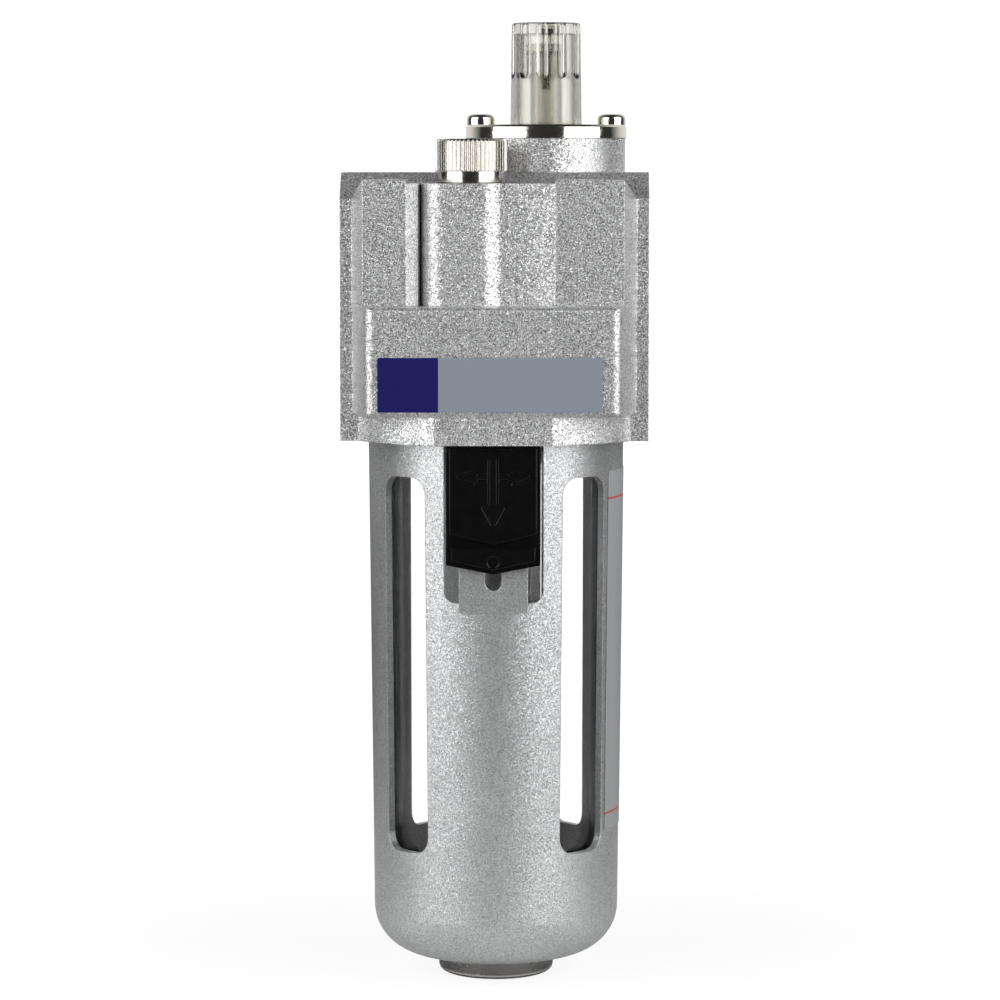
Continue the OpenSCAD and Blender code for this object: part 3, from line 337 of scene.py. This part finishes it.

# Sight dome and drip cap
# Injection moulded in clear polycarbonate, a trace warm. Its grey colour is painted shade
# for the dark room that its thick walls bend into view, darkest in the solid top.
dome_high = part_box("sight_dome")[1]
thick_polycarbonate, tree = new_material("thick_clear_polycarbonate")
place = add(tree, "TexCoord").outputs["Object"]
flow = add(tree, "TexNoise", {"Vector": place, "Scale": 1 / (3 * mm), "Detail": 2.0})
haze = add(tree, "MapRange", {"Value": flow.outputs["Fac"], "To Min": 0.12, "To Max": 0.2})
ripple = add(tree, "Bump", {"Height": flow.outputs["Fac"], "Strength": 0.1, "Distance": 0.3 * mm})
axes = add(tree, "SeparateXYZ", {"Vector": place})
solid_top = add(tree, "MapRange", {"Value": axes.outputs["Z"], "From Min": dome_high.z - 4 * mm,
                                   "From Max": dome_high.z - 3 * mm})
# The colour is painted grey, darker in the solid top: painted shade.
dome_painted_shade_colour = add(tree, "MixRGB", {"Fac": solid_top.outputs["Result"],
                                    "Color1": linear("#dddcd6"), "Color2": linear("#bebdb5")})
thick = add(tree, "BsdfPrincipled", {"Base Color": dome_painted_shade_colour.outputs[0],
                                     "Transmission Weight": 1.0, "IOR": 1.585,
                                     "Roughness": haze.outputs["Result"],
                                     "Normal": ripple.outputs["Normal"]})
add(tree, "OutputMaterial", {"Surface": thick.outputs[0]})
for name in ("sight_dome", "drip_cap"):
    coat(nodes[name], thick_polycarbonate)
    smooth_by_angle(nodes[name])

# Bowl and siphon tube
# The bowl is moulded in clear polycarbonate, and the tube is drawn in clear nylon. The
# thick foot of the bowl is scuffed from standing, and its colour is painted darker grey: painted
# shade.
foot_top = 9 * mm
clear_polycarbonate, tree = new_material("clear_polycarbonate")
place = add(tree, "TexCoord").outputs["Object"]
flow = add(tree, "TexNoise", {"Vector": place, "Scale": 1 / (6 * mm), "Detail": 2.0})
haze = add(tree, "MapRange", {"Value": flow.outputs["Fac"], "To Min": 0.0, "To Max": 0.05})
axes = add(tree, "SeparateXYZ", {"Vector": place})
in_foot = add(tree, "MapRange", {"Value": axes.outputs["Z"], "From Min": foot_top,
                                 "From Max": 0.6 * foot_top})
scuffs = add(tree, "Math", {0: in_foot.outputs["Result"], 1: 0.25, 2: haze.outputs["Result"]},
             operation="MULTIPLY_ADD")
# Below foot_top the colour is painted darker grey: painted shade for the dark inside of the guard.
clear_and_painted_shade_colour = add(tree, "MixRGB", {"Fac": in_foot.outputs["Result"], "Color1": linear("#fdfdfd"),
                                    "Color2": linear("#8c8a88")})
clear = add(tree, "BsdfPrincipled", {"Base Color": clear_and_painted_shade_colour.outputs[0],
                                     "Transmission Weight": 1.0, "IOR": 1.585,
                                     "Roughness": scuffs.outputs[0]})
add(tree, "OutputMaterial", {"Surface": clear.outputs[0]})
for name in ("bowl", "siphon_tube"):
    coat(nodes[name], clear_polycarbonate)
    smooth_by_angle(nodes[name])

# Guard label
# A thin satin film with ruled red lines round a bare field, glued round the guard's side.
label_low, label_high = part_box("guard_label")
rule_half = 0.28 * mm
label_film, tree = new_material("satin_label_film")
place = add(tree, "TexCoord").outputs["Object"]
axes = add(tree, "SeparateXYZ", {"Vector": place})
tooth = add(tree, "TexNoise", {"Vector": place, "Scale": 1 / (0.6 * mm), "Detail": 2.0})
film_rough = add(tree, "MapRange", {"Value": tooth.outputs["Fac"], "To Min": 0.38, "To Max": 0.5})
below_top = add(tree, "Math", {0: label_high.z, 1: axes.outputs["Z"]}, operation="SUBTRACT")
above_low = add(tree, "Math", {0: axes.outputs["Z"], 1: label_low.z}, operation="SUBTRACT")
top_rule = add(tree, "Math", {0: below_top.outputs[0], 1: 8 * mm, 2: rule_half},
               operation="COMPARE")
low_rule = add(tree, "Math", {0: above_low.outputs[0], 1: 5 * mm, 2: rule_half},
               operation="COMPARE")
rules = add(tree, "Math", {0: top_rule.outputs[0], 1: low_rule.outputs[0]}, operation="MAXIMUM")
film_colour = add(tree, "MixRGB", {"Fac": rules.outputs[0], "Color1": linear("#9a9b9d"),
                                   "Color2": linear("#b8423c")})
film = add(tree, "BsdfPrincipled", {"Base Color": film_colour.outputs[0],
                                    "Roughness": film_rough.outputs["Result"]})
add(tree, "OutputMaterial", {"Surface": film.outputs[0]})
coat(nodes["guard_label"], label_film)
smooth_by_angle(nodes["guard_label"])

# Lock button
# A glossy moulding in black acetal.
black_acetal, tree = new_material("black_acetal")
place = add(tree, "TexCoord").outputs["Object"]
sheen = add(tree, "TexNoise", {"Vector": place, "Scale": 1 / (3 * mm), "Detail": 3.0})
acetal_rough = add(tree, "MapRange", {"Value": sheen.outputs["Fac"], "To Min": 0.18,
                                      "To Max": 0.3})
rounded = add(tree, "Bevel", {"Radius": 0.4 * mm}, samples=4)
acetal = add(tree, "BsdfPrincipled", {"Base Color": linear("#08080a"),
                                      "Roughness": acetal_rough.outputs["Result"],
                                      "Normal": rounded.outputs["Normal"]})
add(tree, "OutputMaterial", {"Surface": acetal.outputs[0]})
for name in ("lock_button", "bypass_valve"):
    coat(nodes[name], black_acetal)
    smooth_by_angle(nodes[name])

# Seals
# Nitrile rubber rings, matt black with a faint bloom.
nitrile_rubber, tree = new_material("nitrile_rubber")
place = add(tree, "TexCoord").outputs["Object"]
bloom = add(tree, "TexNoise", {"Vector": place, "Scale": 1 / (1.2 * mm), "Detail": 3.0})
rubber_colour = add(tree, "MixRGB", {"Fac": bloom.outputs["Fac"], "Color1": linear("#17171a"),
                                     "Color2": linear("#242427")})
rubber = add(tree, "BsdfPrincipled", {"Base Color": rubber_colour.outputs[0], "Roughness": 0.62})
add(tree, "OutputMaterial", {"Surface": rubber.outputs[0]})
for name in ("dome_seal", "fill_plug_seal", "bowl_seal"):
    coat(nodes[name], nitrile_rubber)
    smooth_by_angle(nodes[name])

# Brass fittings
# Turned from free-cutting brass: fine tool rings on a bright yellow metal.
turned_brass, tree = new_material("turned_brass")
place = add(tree, "TexCoord").outputs["Object"]
rings = add(tree, "TexWave", {"Vector": place, "Scale": 1 / (0.9 * mm), "Distortion": 0.6},
            wave_type="BANDS", bands_direction="Z")
ring_bump = add(tree, "Bump", {"Height": rings.outputs["Fac"], "Strength": 0.15,
                               "Distance": 0.03 * mm})
brass_rough = add(tree, "MapRange", {"Value": rings.outputs["Fac"], "To Min": 0.2, "To Max": 0.34})
brass = add(tree, "BsdfPrincipled", {"Base Color": linear("#c9a75c"), "Metallic": 1.0,
                                     "Roughness": brass_rough.outputs["Result"],
                                     "Normal": ring_bump.outputs["Normal"]})
add(tree, "OutputMaterial", {"Surface": brass.outputs[0]})
for name in ("drip_tube", "siphon_fitting", "valve_nut", "bowl_jet"):
    coat(nodes[name], turned_brass)
    smooth_by_angle(nodes[name])

# Strainer
# Bronze balls sintered into a porous cup.
sintered_bronze, tree = new_material("sintered_bronze")
place = add(tree, "TexCoord").outputs["Object"]
balls = add(tree, "TexVoronoi", {"Vector": place, "Scale": 1 / (0.5 * mm)})
ball_bump = add(tree, "Bump", {"Height": balls.outputs["Distance"], "Strength": 0.9,
                               "Distance": 0.2 * mm}, invert=True)
bronze = add(tree, "BsdfPrincipled", {"Base Color": linear("#9c7446"), "Metallic": 1.0,
                                      "Roughness": 0.5, "Normal": ball_bump.outputs["Normal"]})
add(tree, "OutputMaterial", {"Surface": bronze.outputs[0]})
coat(nodes["oil_strainer"], sintered_bronze)
smooth_by_angle(nodes["oil_strainer"])

# Steel parts
# Ground ball, needle and retaining ring.
ground_steel, tree = new_material("ground_steel")
place = add(tree, "TexCoord").outputs["Object"]
grinding = add(tree, "TexNoise", {"Vector": place, "Scale": 1 / (0.3 * mm), "Detail": 2.0})
steel_rough = add(tree, "MapRange", {"Value": grinding.outputs["Fac"], "To Min": 0.16,
                                     "To Max": 0.3})
steel = add(tree, "BsdfPrincipled", {"Base Color": linear("#c3c3c1"), "Metallic": 1.0,
                                     "Roughness": steel_rough.outputs["Result"]})
add(tree, "OutputMaterial", {"Surface": steel.outputs[0]})
for name in ("needle", "check_ball", "valve_clip"):
    coat(nodes[name], ground_steel)
    smooth_by_angle(nodes[name])

# Springs
# Wound from hard drawn steel wire, with their end turns closed.
def skin(name, rings):
    """One closed mesh round a row of equal rings of points."""
    count = len(rings[0])
    faces = [(i * count + k, i * count + (k + 1) % count,
              (i + 1) * count + (k + 1) % count, (i + 1) * count + k)
             for i in range(len(rings) - 1) for k in range(count)]
    faces += [tuple(range(count)), tuple(range((len(rings) - 1) * count, len(rings) * count))]
    mesh = bpy.data.meshes.new(name)
    mesh.from_pydata([point for ring in rings for point in ring], [], faces)
    shape = bmesh.new()
    shape.from_mesh(mesh)
    bmesh.ops.recalc_face_normals(shape, faces=shape.faces)
    shape.to_mesh(mesh)
    shape.free()
    made = bpy.data.objects.new(name, mesh)
    bpy.context.scene.collection.objects.link(made)
    return made


def wound_spring(name, low, high, along, coil_radius, wire, turns):
    """A spring between two corners of a box, wound along the X or the Z axis."""
    middle = (low + high) / 2
    start, length = (low.x, high.x - low.x) if along == "x" else (low.z, high.z - low.z)
    closed = 0.8
    sides = 14
    rings = []
    steps = int(turns * 36)
    for i in range(steps + 1):
        turn = turns * i / steps
        open_share = min(max((turn - closed) / (turns - 2 * closed), 0), 1)
        shut = min(turn, closed) + max(turn - turns + closed, 0)
        rise = wire + shut * wire * 1.05 + open_share * (length - 2 * wire - 2.1 * closed * wire)
        angle = 2 * math.pi * turn
        ring = []
        for k in range(sides):
            tilt = 2 * math.pi * k / sides
            out = coil_radius + wire * math.cos(tilt)
            across, up = out * math.cos(angle), out * math.sin(angle)
            height = start + rise + wire * math.sin(tilt)
            ring.append((height, middle.y + across, middle.z + up) if along == "x"
                        else (middle.x + across, middle.y + up, height))
        rings.append(ring)
    piece = skin(name, rings)
    coat(piece, ground_steel)
    smooth_by_angle(piece, 50)
    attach(piece, "housing")
    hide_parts(name.replace("_wire", ""))
    return piece


low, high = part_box("lock_spring")
lock_wire = wound_spring("lock_spring_wire", low, high, "z", coil_radius=1.3 * mm, wire=0.25 * mm,
                         turns=7)
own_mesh(lock_wire)
low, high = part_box("bypass_spring")
bypass_wire = wound_spring("bypass_spring_wire", low, high, "x", coil_radius=2.2 * mm,
                           wire=0.28 * mm, turns=5)
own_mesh(bypass_wire)

# Port threads
# Three quarter inch pipe threads, cut in the bare casting: 14 turns to the inch.
thread_pitch = 1.814 * mm
thread_crest = 11.42 * mm
thread_root = 12.12 * mm
thread_start = 44 * mm
root_half = 0.42 * thread_pitch
crest_half = 0.06 * thread_pitch
thread_turns = 7.4
thread_steps = int(thread_turns * 64)
lead_in_steps = 40
bare_aluminium, tree = new_material("bare_cut_aluminium")
place = add(tree, "TexCoord").outputs["Object"]
chatter = add(tree, "TexNoise", {"Vector": place, "Scale": 1 / (0.5 * mm), "Detail": 2.0})
cut_rough = add(tree, "MapRange", {"Value": chatter.outputs["Fac"], "To Min": 0.22,
                                   "To Max": 0.36})
cut = add(tree, "BsdfPrincipled", {"Base Color": linear("#c8c9cc"), "Metallic": 1.0,
                                   "Roughness": cut_rough.outputs["Result"]})
add(tree, "OutputMaterial", {"Surface": cut.outputs[0]})
for name, side in (("outlet_thread", 1), ("inlet_thread", -1)):
    rings = []
    for i in range(thread_steps + 1):
        angle = 2 * math.pi * thread_turns * i / thread_steps
        deep = min(i / lead_in_steps, (thread_steps - i) / lead_in_steps, 1)
        crest = thread_root - (thread_root - thread_crest) * deep
        middle = side * (thread_start - thread_pitch * (0.5 + thread_turns * i / thread_steps))
        rings.append([
            (middle + offset, side * radius * math.cos(angle), port_z + radius * math.sin(angle))
            for offset, radius in ((-root_half, thread_root), (-crest_half, crest),
                                   (crest_half, crest), (root_half, thread_root))])
    thread = skin(name, rings)
    coat(thread, bare_aluminium)
    smooth_by_angle(thread, 25)
    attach(thread, "housing")

# Guide and washer
# White acetal mouldings.
white_acetal, tree = new_material("white_acetal")
place = add(tree, "TexCoord").outputs["Object"]
mould = add(tree, "TexNoise", {"Vector": place, "Scale": 1 / (2 * mm), "Detail": 3.0})
white_rough = add(tree, "MapRange", {"Value": mould.outputs["Fac"], "To Min": 0.38, "To Max": 0.5})
white = add(tree, "BsdfPrincipled", {"Base Color": linear("#e6e3da"),
                                     "Roughness": white_rough.outputs["Result"]})
add(tree, "OutputMaterial", {"Surface": white.outputs[0]})
for name in ("valve_guide", "dome_washer"):
    coat(nodes[name], white_acetal)
    smooth_by_angle(nodes[name])
